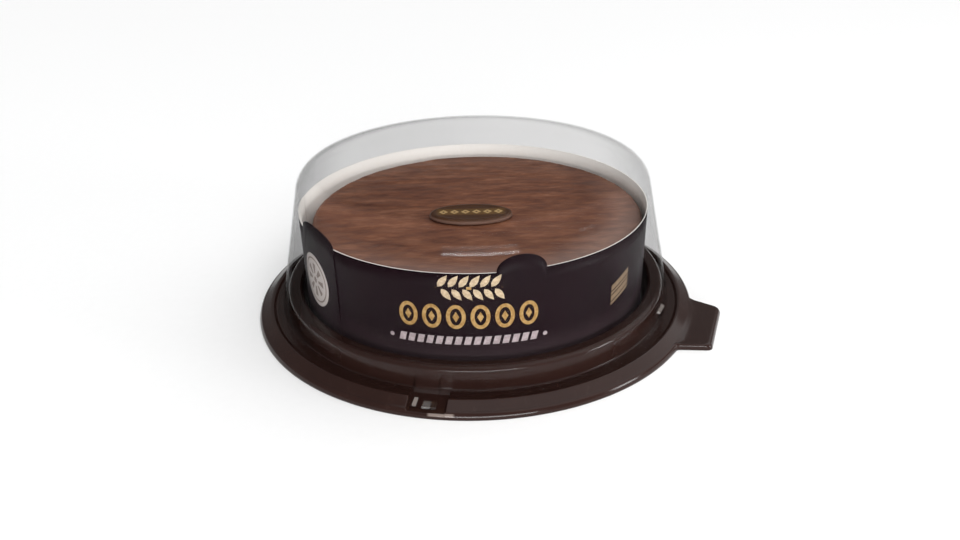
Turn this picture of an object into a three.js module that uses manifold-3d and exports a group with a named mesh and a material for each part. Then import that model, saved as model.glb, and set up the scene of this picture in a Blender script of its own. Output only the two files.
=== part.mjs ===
// Packed round chocolate cake: a glazed cake with a chocolate plaque, a paper collar round it,
// a thermoformed tray with a pull tab, and a clear domed lid snapped over the tray's ring.
// Millimetres, +Z up. The origin is the centre of the tray's underside, the pull tab points
// towards +X and the printed front of the collar faces -Y.

import * as THREE from 'three';
import { mergeVertices } from 'three/addons/utils/BufferGeometryUtils.js';
import Module from 'manifold-3d';

const wasm = await Module();
wasm.setup();

// ---------------------------------------------------------------- driving dimensions

const ROUND_STEPS = 72; // sides of every round piece
const ARC_STEPS = 2; // chords in a rounded corner, where no number of its own is given
const CLEAR = 0.3; // gap between pieces that touch

const TRAY_WALL = 0.8;
const TRAY_RADIUS = 120;
const TRAY_FLOOR_RADIUS = 94.4;
const RING_INNER = 95.6;
const RING_OUTER = 103;
const RING_TOP = 16.2;
const GROOVE_INNER = 104.2;
const GROOVE_OUTER = 110.9;
const GROOVE_FLOOR = 4.8;
const CREST_RADIUS = 112.4;
const CREST_TOP = 6.8;
const LIP_RADIUS = 118.8;
const LIP_TOP = 3.2;

const TAB_AZIMUTH = -21.6; // degrees round from +X
const TAB_START = 108;
const TAB_REACH = 133.7;
const TAB_ROOT_HALF = 28;
const TAB_TIP_HALF = 20.4;
const TAB_CORNER = 3.2;
const TAB_TOP = 3;

const LID_WALL = 0.6;
const LID_TOP = 79.3;
const LID_WALL_TOP_RADIUS = 93.2;
const LID_SHOULDER = 10.6; // radius of the rounded shoulder
const LID_WALL_FOOT_RADIUS = 105.7;
const LID_WALL_FOOT = 12;
const LID_HEEL_RADIUS = 106.3;
const LID_RIM_RADIUS = 110.2;
const LID_RIM_TOP = 6;

const CATCH_AZIMUTH = -102.2;
const CATCH_WIDTH = 12.8;
const CATCH_RADIUS = 109.8;
const CATCH_TOP = 13.2;
const TONGUE_REACH = 118.8;
const TONGUE_DROP = 1.1;
const POCKET_AZIMUTH = -101.4;
const POCKET_WIDTH = 17.8;
const POCKET_START = 105.4;
const POCKET_START_FLOOR = 3.9;
const POCKET_END_FLOOR = 2.1;
const LUG_AZIMUTH = -26.5;
const LUG_WIDTH = 9;
const LUG_RADIUS = 106.9;
const LUG_BOTTOM = 9.4;
const LUG_TOP = 13;

const CAKE_RADIUS = 89.4;
const CAKE_SHIFT = 1.8; // the cake lies a little off centre in its collar
const CAKE_TOP = 52;
const CAKE_EDGE = 3.5; // rounded glazed rim
const CAKE_FOOT = 1.1; // glaze that ran down and set at the bottom
const CAKE_FOOT_HEIGHT = 3.4;

const COLLAR_RADIUS = 92.4;
const COLLAR_BOARD = 0.5;
const COLLAR_TOP = 58.2;
const COLLAR_STEPS = 90;
const OVERLAP_START = 178; // degrees, the outer end of the wrapped strip
const OVERLAP_END = 225;
const OVERLAP_RISE = 0.4;
const LIFT_AZIMUTH = 283; // half-round lift tab on the collar's edge
const LIFT_HALF_ANGLE = 7.2;
const LIFT_HEIGHT = 7.8;
const FLAP_AZIMUTH = 214; // lower, wider rounding of the lap's top edge
const FLAP_HALF_ANGLE = 10.5;
const FLAP_HEIGHT = 6.5;

const PLAQUE_CENTRE = [-1.5, -13.6];
const PLAQUE_HALF_LENGTH = 21.8;
const PLAQUE_HALF_WIDTH = 12.4;
const PLAQUE_THICKNESS = 2.6;
const PLAQUE_EDGE = 0.9;
const PLAQUE_STEPS = 40;

const floorTop = TRAY_WALL;
const foodBase = floorTop + CLEAR;

// ---------------------------------------------------------------- solids and meshes

function toSolid(geometry) {
  const bare = geometry.clone();
  bare.deleteAttribute('normal');
  bare.deleteAttribute('uv');
  const merged = mergeVertices(bare, 1e-4);
  const source = merged.index.array;
  const faces = [];
  for (let i = 0; i < source.length; i += 3) {
    const [a, b, c] = [source[i], source[i + 1], source[i + 2]];
    if (a !== b && b !== c && c !== a) {
      faces.push(a, b, c);
    }
  }
  const vertProperties = new Float32Array(merged.attributes.position.array);
  return new wasm.Manifold(new wasm.Mesh({ numProp: 3, vertProperties, triVerts: new Uint32Array(faces) }));
}

function toGeometry(solid) {
  const mesh = solid.getMesh();
  const geometry = new THREE.BufferGeometry();
  geometry.setAttribute('position', new THREE.BufferAttribute(mesh.vertProperties, 3));
  geometry.setIndex(new THREE.BufferAttribute(mesh.triVerts, 1));
  geometry.computeVertexNormals();
  return geometry;
}

// Turns the axis that three.js revolves or extrudes along into +Z, with exact zeros and ones.
const yToZ = new THREE.Matrix4().set(1, 0, 0, 0, 0, 0, -1, 0, 0, 1, 0, 0, 0, 0, 0, 1);

// A solid of revolution from [radius, height] points that start and end on the axis, lowest first.
function turned(profile) {
  const points = profile.map(([radius, height]) => new THREE.Vector2(radius, height));
  return new THREE.LatheGeometry(points, ROUND_STEPS).applyMatrix4(yToZ);
}

// An outline in the radius-height plane, made thick across the radius and turned to its azimuth.
function radialBlock(outline, width, azimuth) {
  const shape = new THREE.Shape(outline.map(([radius, height]) => new THREE.Vector2(radius, height)));
  const block = new THREE.ExtrudeGeometry(shape, { depth: width, bevelEnabled: false, steps: 1 });
  return block
    .translate(0, 0, -width / 2)
    .applyMatrix4(yToZ)
    .rotateZ(THREE.MathUtils.degToRad(azimuth));
}

// ---------------------------------------------------------------- outlines

// Rounds the corners of a polyline. Each corner is [x, y, radius, chords]; no radius leaves it sharp.
function rounded(corners) {
  const path = [];
  corners.forEach(([x, y, radius, chords = ARC_STEPS], index) => {
    const corner = new THREE.Vector2(x, y);
    const before = corners[index - 1];
    const after = corners[index + 1];
    if (!radius || !before || !after) {
      path.push([x, y]);
      return;
    }
    const toBefore = new THREE.Vector2(before[0], before[1]).sub(corner).normalize();
    const toAfter = new THREE.Vector2(after[0], after[1]).sub(corner).normalize();
    const half = Math.acos(toBefore.dot(toAfter)) / 2;
    const centre = corner.clone().addScaledVector(toBefore.clone().add(toAfter).normalize(), radius / Math.sin(half));
    const start = corner.clone().addScaledVector(toBefore, radius / Math.tan(half)).sub(centre);
    const end = corner.clone().addScaledVector(toAfter, radius / Math.tan(half)).sub(centre);
    const sweep = Math.atan2(start.cross(end), start.dot(end));
    for (let step = 0; step <= chords; step += 1) {
      const point = start.clone().rotateAround(new THREE.Vector2(), (sweep * step) / chords).add(centre);
      path.push([point.x, point.y]);
    }
  });
  return path;
}

// The same polyline moved sideways by a sheet's thickness, to the right of its direction.
function offset(path, distance) {
  return path.map(([x, y], index) => {
    const normals = [];
    for (const [from, to] of [[index - 1, index], [index, index + 1]]) {
      if (path[from] && path[to]) {
        const along = new THREE.Vector2(path[to][0] - path[from][0], path[to][1] - path[from][1]).normalize();
        normals.push(new THREE.Vector2(along.y, -along.x));
      }
    }
    const sum = normals.reduce((total, normal) => total.add(normal), new THREE.Vector2()).normalize();
    const reach = distance / sum.dot(normals.length > 1 ? normals[1] : sum);
    return [x + sum.x * reach, y + sum.y * reach];
  });
}

// ---------------------------------------------------------------- tray

// The tray's shape filled down to the table. Sunk by a sheet's thickness it is the hollow under it.
function trayBody(path, base) {
  const end = path[path.length - 1];
  return toSolid(turned([[0, base], [end[0], base], ...path.slice().reverse()]));
}

function tabBody(inset, base, top) {
  const root = TAB_ROOT_HALF - inset;
  const tip = TAB_TIP_HALF - inset;
  const reach = TAB_REACH - inset;
  const corner = TAB_CORNER - inset;
  const outline = rounded([
    [TAB_START, -root],
    [reach, -tip, corner, 5],
    [reach, tip, corner, 5],
    [TAB_START, root],
  ]);
  const shape = new THREE.Shape(outline.map(([x, y]) => new THREE.Vector2(x, y)));
  const plate = new THREE.ExtrudeGeometry(shape, { depth: top - base, bevelEnabled: false, steps: 1 });
  return toSolid(plate.translate(0, 0, base).rotateZ(THREE.MathUtils.degToRad(TAB_AZIMUTH)));
}

// The wedge cut out of the skirt under the lid's tongue, open upwards and outwards.
function pocketBody(wall) {
  const start = POCKET_START - wall;
  const end = TRAY_RADIUS + 2;
  const outline = [
    [start, POCKET_START_FLOOR - wall],
    [end, POCKET_END_FLOOR - wall],
    [end, RING_TOP],
    [start, RING_TOP],
  ];
  return toSolid(radialBlock(outline, POCKET_WIDTH + 2 * wall, POCKET_AZIMUTH));
}

function makeTray() {
  const surface = rounded([
    [0, floorTop],
    [TRAY_FLOOR_RADIUS, floorTop, 1.2],
    [RING_INNER, RING_TOP, 2.2],
    [RING_OUTER, RING_TOP, 2.6],
    [GROOVE_INNER, GROOVE_FLOOR, 0.9],
    [GROOVE_OUTER, GROOVE_FLOOR, 0.9],
    [CREST_RADIUS, CREST_TOP, 1.6],
    [LIP_RADIUS, LIP_TOP, 1.6],
    [TRAY_RADIUS, 0],
  ]);
  const underside = offset(surface, TRAY_WALL);
  const below = -5;
  const filled = trayBody(surface, 0).subtract(pocketBody(0)).add(tabBody(0, 0, TAB_TOP));
  const hollow = trayBody(underside, below)
    .subtract(pocketBody(TRAY_WALL))
    .add(tabBody(TRAY_WALL, below, TAB_TOP - TRAY_WALL));
  return filled.subtract(hollow);
}

// ---------------------------------------------------------------- lid

function catchBody(wall) {
  const inner = 98;
  const radius = CATCH_RADIUS - wall;
  const foot = wall > 0 ? 0 : LID_RIM_TOP - LID_WALL;
  const outline = [
    [inner, foot],
    [radius, foot],
    [radius, CATCH_TOP - 2.4 - wall],
    [radius - 2.2, CATCH_TOP - wall],
    [inner, CATCH_TOP - wall],
  ];
  return toSolid(radialBlock(outline, CATCH_WIDTH - 2 * wall, CATCH_AZIMUTH));
}

function tongueBody() {
  const start = LID_RIM_RADIUS - 1.5;
  const outline = [
    [start, LID_RIM_TOP - LID_WALL],
    [TONGUE_REACH, LID_RIM_TOP - LID_WALL - TONGUE_DROP],
    [TONGUE_REACH, LID_RIM_TOP - TONGUE_DROP],
    [start, LID_RIM_TOP],
  ];
  return toSolid(radialBlock(outline, CATCH_WIDTH, CATCH_AZIMUTH));
}

function lugBody(wall) {
  const outline = [
    [100, LUG_BOTTOM + wall],
    [LUG_RADIUS - wall, LUG_BOTTOM + wall],
    [LUG_RADIUS - wall, LUG_TOP - wall],
    [100, LUG_TOP - wall],
  ];
  return toSolid(radialBlock(outline, LUG_WIDTH - 2 * wall, LUG_AZIMUTH));
}

function makeLid() {
  const dome = rounded([
    [0, LID_TOP],
    [LID_WALL_TOP_RADIUS - 2.2, LID_TOP, LID_SHOULDER, 5],
    [LID_WALL_FOOT_RADIUS, LID_WALL_FOOT, 3],
    [LID_HEEL_RADIUS, LID_RIM_TOP, 0.9],
    [LID_RIM_RADIUS, LID_RIM_TOP],
  ]);
  const rimBottom = LID_RIM_TOP - LID_WALL;
  const upFromRim = dome.slice().reverse();
  const filled = toSolid(turned([[0, rimBottom], [LID_RIM_RADIUS, rimBottom], ...upFromRim]));
  const inside = offset(dome, LID_WALL).filter(([, height]) => height > rimBottom + LID_WALL);
  const mouth = inside[inside.length - 1][0];
  const hollow = toSolid(turned([[0, 0], [mouth, 0], ...inside.slice().reverse()]));
  return filled
    .add(catchBody(0))
    .add(tongueBody())
    .add(lugBody(0))
    .subtract(hollow.add(catchBody(LID_WALL)).add(lugBody(LID_WALL)));
}

// ---------------------------------------------------------------- cake and plaque

function makeCake() {
  const profile = rounded([
    [0, foodBase],
    [CAKE_RADIUS, foodBase, 0.8],
    [CAKE_RADIUS, foodBase + CAKE_FOOT_HEIGHT, 2],
    [CAKE_RADIUS - CAKE_FOOT, foodBase + CAKE_FOOT_HEIGHT + 2, 2],
    [CAKE_RADIUS - CAKE_FOOT + 0.3, CAKE_TOP, CAKE_EDGE, 4],
    [0, CAKE_TOP],
  ]);
  return toSolid(turned(profile).translate(CAKE_SHIFT, 0, 0));
}

// An oval pastille: the outline is the same ellipse at every level, drawn in at the top edge.
function makePlaque() {
  const shape = new THREE.Shape();
  const halfLength = PLAQUE_HALF_LENGTH - PLAQUE_EDGE;
  const halfWidth = PLAQUE_HALF_WIDTH - PLAQUE_EDGE;
  for (let step = 0; step < PLAQUE_STEPS; step += 1) {
    const angle = (2 * Math.PI * step) / PLAQUE_STEPS;
    const [x, y] = [halfLength * Math.cos(angle), halfWidth * Math.sin(angle)];
    if (step === 0) {
      shape.moveTo(x, y);
    } else {
      shape.lineTo(x, y);
    }
  }
  const plate = new THREE.ExtrudeGeometry(shape, {
    depth: PLAQUE_THICKNESS - 2 * PLAQUE_EDGE,
    bevelThickness: PLAQUE_EDGE,
    bevelSize: PLAQUE_EDGE,
    bevelSegments: 2,
    steps: 1,
  });
  const lift = CAKE_TOP + CLEAR + PLAQUE_EDGE;
  return toSolid(plate.translate(PLAQUE_CENTRE[0], PLAQUE_CENTRE[1], lift));
}

// ---------------------------------------------------------------- paper collar

// A standing strip of board bent round the axis, from one azimuth to another, whose top edge
// follows topAt(azimuth). A full turn closes on itself; a shorter one gets two end faces.
function bentStrip(inner, outer, azimuths, bottom, topAt, closed) {
  const positions = [];
  azimuths.forEach((azimuth) => {
    const angle = THREE.MathUtils.degToRad(azimuth);
    const top = topAt(azimuth);
    for (const [radius, height] of [[inner, bottom], [outer, bottom], [outer, top], [inner, top]]) {
      positions.push(radius * Math.cos(angle), radius * Math.sin(angle), height);
    }
  });
  const index = [];
  const count = azimuths.length;
  const spans = closed ? count : count - 1;
  for (let span = 0; span < spans; span += 1) {
    const here = 4 * span;
    const next = 4 * ((span + 1) % count);
    for (let side = 0; side < 4; side += 1) {
      const other = (side + 1) % 4;
      index.push(here + side, next + side, next + other);
      index.push(here + side, next + other, here + other);
    }
  }
  if (!closed) {
    const last = 4 * (count - 1);
    index.push(0, 1, 2, 0, 2, 3);
    index.push(last, last + 2, last + 1, last, last + 3, last + 2);
  }
  const geometry = new THREE.BufferGeometry();
  geometry.setAttribute('position', new THREE.Float32BufferAttribute(positions, 3));
  geometry.setAttribute('normal', new THREE.Float32BufferAttribute(new Array(positions.length).fill(0), 3));
  geometry.setAttribute('uv', new THREE.Float32BufferAttribute(new Array((2 * positions.length) / 3).fill(0), 2));
  geometry.setIndex(index);
  return toSolid(geometry);
}

// How far a half-round tab lifts the top edge at an azimuth.
function tabRise(azimuth, middle, halfAngle, height) {
  const away = (azimuth - middle) / halfAngle;
  return height * Math.sqrt(Math.max(0, 1 - away * away));
}

// Azimuths over a half-round tab, closer together towards its steep ends.
function tabSteps(middle, halfAngle, steps) {
  const azimuths = [];
  for (let step = 0; step <= steps; step += 1) {
    azimuths.push(middle - halfAngle * Math.cos((Math.PI * step) / steps));
  }
  return azimuths;
}

function makeCollar() {
  const azimuths = tabSteps(LIFT_AZIMUTH, LIFT_HALF_ANGLE, 16);
  for (let step = 0; step < COLLAR_STEPS; step += 1) {
    azimuths.push((360 * step) / COLLAR_STEPS);
  }
  azimuths.sort((a, b) => a - b);
  const spread = azimuths.filter((azimuth, index) => index === 0 || azimuth - azimuths[index - 1] > 0.01);
  const ring = bentStrip(
    COLLAR_RADIUS - COLLAR_BOARD,
    COLLAR_RADIUS,
    spread,
    foodBase,
    (azimuth) => COLLAR_TOP + tabRise(azimuth, LIFT_AZIMUTH, LIFT_HALF_ANGLE, LIFT_HEIGHT),
    true,
  );

  const overlapAzimuths = [];
  const flapStart = FLAP_AZIMUTH - FLAP_HALF_ANGLE;
  const plainSteps = 5;
  for (let step = 0; step < plainSteps; step += 1) {
    overlapAzimuths.push(OVERLAP_START + ((flapStart - OVERLAP_START) * step) / plainSteps);
  }
  overlapAzimuths.push(...tabSteps(FLAP_AZIMUTH, FLAP_HALF_ANGLE, 12), OVERLAP_END);
  const overlap = bentStrip(
    COLLAR_RADIUS - COLLAR_BOARD / 2,
    COLLAR_RADIUS + COLLAR_BOARD,
    overlapAzimuths,
    foodBase,
    (azimuth) => COLLAR_TOP + OVERLAP_RISE + tabRise(azimuth, FLAP_AZIMUTH, FLAP_HALF_ANGLE, FLAP_HEIGHT),
    false,
  );
  return ring.add(overlap);
}

// ---------------------------------------------------------------- assembly

function piece(name, solid, colour, roughness, opacity = 1) {
  const material = new THREE.MeshStandardMaterial({
    color: colour,
    roughness,
    metalness: 0,
    transparent: opacity < 1,
    opacity,
  });
  const mesh = new THREE.Mesh(toGeometry(solid), material);
  mesh.name = name;
  return mesh;
}

const packedCake = new THREE.Group();
packedCake.add(piece('tray', makeTray(), '#2a1712', 0.22));
packedCake.add(piece('lid', makeLid(), '#e8ecec', 0.05, 0.25));
packedCake.add(piece('collar', makeCollar(), '#17131f', 0.45));
packedCake.add(piece('cake', makeCake(), '#5d3524', 0.42));
packedCake.add(piece('plaque', makePlaque(), '#2b140b', 0.3));

export default packedCake;
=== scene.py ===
"""Finished looks of a packed round chocolate cake.

A streaky glazed cake with an oval chocolate plaque stands inside a printed paper collar, in a dark
thermoformed tray with a pull tab, under a clear domed lid. Sizes are in millimetres up to the
moment a mesh is made, and in metres from there on.
"""

import math

import bmesh
import bpy
import numpy as np
from mathutils import Matrix, Vector


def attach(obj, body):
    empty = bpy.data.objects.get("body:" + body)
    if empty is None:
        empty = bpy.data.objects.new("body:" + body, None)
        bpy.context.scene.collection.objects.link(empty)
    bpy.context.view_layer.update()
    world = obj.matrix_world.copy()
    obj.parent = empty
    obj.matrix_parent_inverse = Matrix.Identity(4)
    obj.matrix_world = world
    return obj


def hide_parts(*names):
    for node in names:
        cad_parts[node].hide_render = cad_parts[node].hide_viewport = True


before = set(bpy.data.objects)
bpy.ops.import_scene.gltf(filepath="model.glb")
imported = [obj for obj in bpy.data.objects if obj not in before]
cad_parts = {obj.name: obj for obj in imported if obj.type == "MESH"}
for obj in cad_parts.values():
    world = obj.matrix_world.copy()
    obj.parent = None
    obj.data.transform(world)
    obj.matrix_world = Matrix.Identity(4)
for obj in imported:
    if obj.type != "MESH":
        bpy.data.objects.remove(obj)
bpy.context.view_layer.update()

MM = 0.001

# ---------------------------------------------------------------- sizes, as in the CAD model

# The swell, the print and the seal are in this model alone.
# A profile's corner is a radius, a height and, where it is rounded, the radius of its rounding.

TRAY_WALL = 0.8
TRAY_RADIUS = 120.0
RING_TOP = 16.2
GROOVE_FLOOR = 4.8
SKIRT_END = 118.3
LIP_TOP = 3.48
TRAY_PROFILE = [
    (0, TRAY_WALL),
    (94.4, TRAY_WALL, 1.2),
    (95.6, RING_TOP, 2.2),
    (103.0, RING_TOP, 2.6),
    (104.2, GROOVE_FLOOR, 0.9),
    (110.9, GROOVE_FLOOR, 0.9),
    (112.4, 6.8, 1.6),
    (SKIRT_END, LIP_TOP),
]
# Distance in from the tray's edge, and height.
TRAY_LIP = [
    (1.7, LIP_TOP), (1.25, 3.2), (0.85, 2.8), (0.5, 2.2), (0.22, 1.5), (0.0, 0.8), (0.0, 0.0),
]

TAB_AZIMUTH = -21.6
TAB_START = 108.0
TAB_REACH = 133.7
TAB_ROOT_HALF = 28.0
TAB_TIP_HALF = 20.4
TAB_CORNER = 3.2
TAB_TOP = 3.0

POCKET_AZIMUTH = -101.4
POCKET_HALF = 8.9
POCKET_START = 105.4
POCKET_FLOORS = (3.9, 2.1)

LID_WALL = 0.6
LID_TOP = 79.3
LID_FOOT = 6.0
LID_FOOT_RADIUS = 108.6
LID_PROFILE = [
    (0, LID_TOP),
    (91.0, LID_TOP, 10.6),
    (105.7, 12.0, 3.0),
    (106.3, LID_FOOT, 0.9),
    (LID_FOOT_RADIUS, LID_FOOT),
]
LID_RIM_RADIUS = 110.2
SWELL_HEIGHT = 67.1
SWELL_HALF = 1.6
SWELL_RISE = 0.035
CATCH_AZIMUTH = -102.2
CATCH_HALF = 6.4
CATCH_RADIUS = 109.8
CATCH_TOP = 13.2
CATCH_CHAMFER = 2.4
TONGUE_REACH = 118.8
TONGUE_DROP = 1.1
LUG_AZIMUTH = -26.5
LUG_HALF = 4.5
LUG_RADIUS = 106.9
LUG_HEIGHTS = (9.4, 13.0)

CAKE_RADIUS = 89.4
CAKE_SHIFT = 1.8
CAKE_TOP = 52.0
CAKE_EDGE = 3.5
FOOD_BASE = 1.1

COLLAR_RADIUS = 92.4
COLLAR_BOARD = 0.5
COLLAR_TOP = 58.2
OVERLAP_START = 178.0
OVERLAP_END = 225.0
OVERLAP_RISE = 0.4
LIFT_AZIMUTH = -77.0
LIFT_HALF_ANGLE = 7.2
LIFT_HEIGHT = 7.8
FLAP_AZIMUTH = 214.0
FLAP_HALF_ANGLE = 10.5
FLAP_HEIGHT = 6.5
LAP_GAP = 0.02
PRINT_LIFT = 0.01
PRINT_THICKNESS = 0.05
SEAL_AZIMUTH = 211.0
SEAL_HEIGHT = 34.4
SEAL_RADIUS = 14.0
SEAL_LIFT = 0.07
SEAL_THICKNESS = 0.05

PLAQUE_CENTRE = (-1.5, -13.6)
PLAQUE_HALF_LENGTH = 21.8
PLAQUE_HALF_WIDTH = 12.4
PLAQUE_BASE = 52.3
PLAQUE_TOP = 54.9


# ---------------------------------------------------------------- camera

def place_camera():
    """Looks down on the front of the pack from a little above, turned a trace to the right."""
    pitch, yaw, roll = math.radians(26.679), math.radians(0.394), math.radians(-1.129)
    level = math.cos(pitch)
    forward = Vector((math.sin(yaw) * level, math.cos(yaw) * level, -math.sin(pitch)))
    level_right = Vector((math.cos(yaw), -math.sin(yaw), 0))
    level_up = level_right.cross(forward)
    right = math.cos(roll) * level_right + math.sin(roll) * level_up
    up = math.cos(roll) * level_up - math.sin(roll) * level_right
    lens = bpy.data.cameras.new("camera")
    lens.sensor_fit = "HORIZONTAL"
    lens.sensor_width = 36
    lens.lens = 29.69
    lens.clip_start = 0.01
    camera = bpy.data.objects.new("camera", lens)
    bpy.context.scene.collection.objects.link(camera)
    turn = Matrix((right, up, -forward)).transposed()
    camera.matrix_world = Matrix.Translation((0, -0.4, 0.21456)) @ turn.to_4x4()
    bpy.context.scene.camera = camera


place_camera()


# ---------------------------------------------------------------- outlines and meshes

def rounded(corners, sweep_step=11.0):
    """A polyline whose corners, given as (x, y, radius), are rounded, or sharp without a radius."""
    path = []
    for index, corner in enumerate(corners):
        here = np.array(corner[:2], float)
        if len(corner) < 3:
            path.append(here)
            continue
        back = np.array(corners[index - 1][:2], float) - here
        ahead = np.array(corners[index + 1][:2], float) - here
        back /= np.linalg.norm(back)
        ahead /= np.linalg.norm(ahead)
        half = math.acos(np.clip(back @ ahead, -1, 1)) / 2
        middle = back + ahead
        centre = here + middle / np.linalg.norm(middle) * corner[2] / math.sin(half)
        start = here + back * corner[2] / math.tan(half) - centre
        end = here + ahead * corner[2] / math.tan(half) - centre
        sweep = math.atan2(start[0] * end[1] - start[1] * end[0], start @ end)
        chords = max(2, math.ceil(abs(math.degrees(sweep)) / sweep_step))
        for step in range(chords + 1):
            angle = sweep * step / chords
            cosine, sine = math.cos(angle), math.sin(angle)
            x = cosine * start[0] - sine * start[1]
            y = sine * start[0] + cosine * start[1]
            path.append(centre + (x, y))
    return np.array(path)


def spaced(path, longest):
    """The same polyline with points added until no stretch is longer than the given length."""
    points = [path[0]]
    for start, end in zip(path[:-1], path[1:]):
        parts = max(1, math.ceil(np.linalg.norm(end - start) / longest))
        points += [start + (end - start) * part / parts for part in range(1, parts + 1)]
    return np.array(points)


def ease(value, start, end):
    """0 before start, 1 past end, and a smooth slope between them."""
    share = np.clip((value - start) / (end - start), 0, 1)
    return share * share * (3 - 2 * share)


def azimuth_steps(step, *finer):
    """Azimuths round the full turn, in degrees, with finer steps in (from, to, step) stretches."""
    azimuths = list(np.arange(0, 360, step))
    for start, end, fine_step in finer:
        azimuths += [azimuth % 360 for azimuth in np.arange(start, end, fine_step)]
    azimuths = np.array(sorted(azimuths))
    kept = [azimuths[0]]
    for azimuth in azimuths[1:]:
        if azimuth - kept[-1] > 0.045:
            kept.append(azimuth)
    return np.array(kept)


def both_sides(middle, near, far, step):
    """Two stretches of azimuths with finer steps, from near to far on either side of a middle."""
    return (middle - far, middle - near, step), (middle + near, middle + far, step)


def turned_from(azimuths, direction):
    """Degrees from a direction to each azimuth, between -180 and 180."""
    return (azimuths - direction + 180) % 360 - 180


def plain_mesh(name, points, faces):
    """A smooth-shaded object at the origin from points in millimetres."""
    mesh = bpy.data.meshes.new(name)
    mesh.from_pydata((np.asarray(points) * MM).tolist(), [], faces)
    mesh.validate()
    mesh.shade_smooth()
    piece = bpy.data.objects.new(name, mesh)
    bpy.context.scene.collection.objects.link(piece)
    return piece


def sheet_faces(count, rings, closed=False):
    """Faces of a round sheet: point 0 in its middle, then rings of count points, going outwards.

    With closed, the last ring is closed by faces that meet in one more point.
    """
    faces = [(0, 1 + turn, 1 + (turn + 1) % count) for turn in range(count)]
    for ring in range(rings - 1):
        inner, outer = 1 + ring * count, 1 + (ring + 1) * count
        for turn in range(count):
            after = (turn + 1) % count
            faces.append((inner + turn, outer + turn, outer + after, inner + after))
    if closed:
        last, tip = 1 + (rings - 1) * count, 1 + rings * count
        faces += [(tip, last + (turn + 1) % count, last + turn) for turn in range(count)]
    return faces


def polar_sheet(name, azimuths, rows, centre_height, centre=(0.0, 0.0), closed_below=None):
    """A sheet from the axis outwards. Each row gives a radius and a height for every azimuth.

    Its upper side faces out. With closed_below, the last row is closed by a flat face at that
    height.
    """
    angles = np.radians(azimuths)
    points = [(centre[0], centre[1], centre_height)]
    for radii, heights in rows:
        heights = np.broadcast_to(heights, angles.shape)
        x, y = centre[0] + radii * np.cos(angles), centre[1] + radii * np.sin(angles)
        points += list(zip(x, y, heights))
    closed = closed_below is not None
    if closed:
        points.append((centre[0], centre[1], closed_below))
    return plain_mesh(name, points, sheet_faces(len(angles), len(rows), closed))


def as_plain(piece):
    """Turns what the piece's modifiers make of it into its own mesh."""
    graph = bpy.context.evaluated_depsgraph_get()
    made = bpy.data.meshes.new_from_object(piece.evaluated_get(graph), depsgraph=graph)
    made.name = piece.name
    piece.modifiers.clear()
    piece.data = made
    return piece


def give_wall(piece, wall):
    """Thickens a sheet inwards, away from its outer side."""
    solidify = piece.modifiers.new("wall", "SOLIDIFY")
    solidify.thickness = wall * MM
    solidify.offset = -1
    return as_plain(piece)


# ---------------------------------------------------------------- tray

def tab_outline(azimuths):
    """Distance from the axis to the tray's edge: the round flange, or the tab that reaches out."""
    outline = rounded([
        (TAB_START, -TAB_ROOT_HALF),
        (TAB_REACH, -TAB_TIP_HALF, TAB_CORNER),
        (TAB_REACH, TAB_TIP_HALF, TAB_CORNER),
        (TAB_START, TAB_ROOT_HALF),
    ])
    outline = spaced(outline, 1.0)
    directions = np.degrees(np.arctan2(outline[:, 1], outline[:, 0]))
    distances = np.hypot(outline[:, 0], outline[:, 1])
    away = turned_from(azimuths, TAB_AZIMUTH)
    tab = np.interp(away, directions, distances, left=0, right=0)
    fillet = 1.2
    return (TRAY_RADIUS + tab + np.sqrt((TRAY_RADIUS - tab) ** 2 + fillet**2)) / 2


def make_tray():
    tab_sides = both_sides(TAB_AZIMUTH, 6, 13.6, 0.2)
    pocket_sides = both_sides(POCKET_AZIMUTH, 3.9, 5.2, 0.09)
    azimuths = azimuth_steps(1.0, *tab_sides, *pocket_sides)
    edge = tab_outline(azimuths)
    on_tab = ease(edge, TRAY_RADIUS + 0.3, TRAY_RADIUS + 4)
    across = np.radians(turned_from(azimuths, POCKET_AZIMUTH))

    def with_pocket(radii, heights):
        """A row of the tray, let down to the sloping floor of the pocket where it crosses it."""
        radii = np.broadcast_to(radii, azimuths.shape)
        sideways = np.abs(radii * np.sin(across))
        facing = np.cos(across) > 0
        share = (radii - POCKET_START) / (TRAY_RADIUS + 2 - POCKET_START)
        floor = POCKET_FLOORS[0] + (POCKET_FLOORS[1] - POCKET_FLOORS[0]) * share
        inside = (1 - ease(sideways, POCKET_HALF - 0.5, POCKET_HALF + 0.3)) * facing
        inside = inside * ease(radii, POCKET_START - 0.4, POCKET_START + 0.3)
        return radii, heights + (np.minimum(heights, floor) - heights) * inside

    profile = rounded(TRAY_PROFILE)
    floor_points = np.array([(radius, TRAY_WALL) for radius in (8, 24, 40, 56, 70, 82, 90)])
    formed = spaced(profile[1:], 1.1)
    rows = [with_pocket(radius, height) for radius, height in np.vstack([floor_points, formed])]

    reach = edge - TRAY_LIP[0][0] - SKIRT_END
    for share in (0.06, 0.12, 0.2, 0.35, 0.5, 0.65, 0.8, 0.92):
        settled = ease(share, 0, 0.2) * on_tab
        heights = LIP_TOP + (TAB_TOP - LIP_TOP) * settled
        rows.append(with_pocket(SKIRT_END + reach * share, heights))
    for from_edge, height in TRAY_LIP:
        heights = height * (1 + (TAB_TOP / LIP_TOP - 1) * on_tab)
        rows.append(with_pocket(edge - from_edge, heights))
    tray = polar_sheet("tray_formed", azimuths, rows, TRAY_WALL)
    return give_wall(tray, TRAY_WALL)


# ---------------------------------------------------------------- lid

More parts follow.
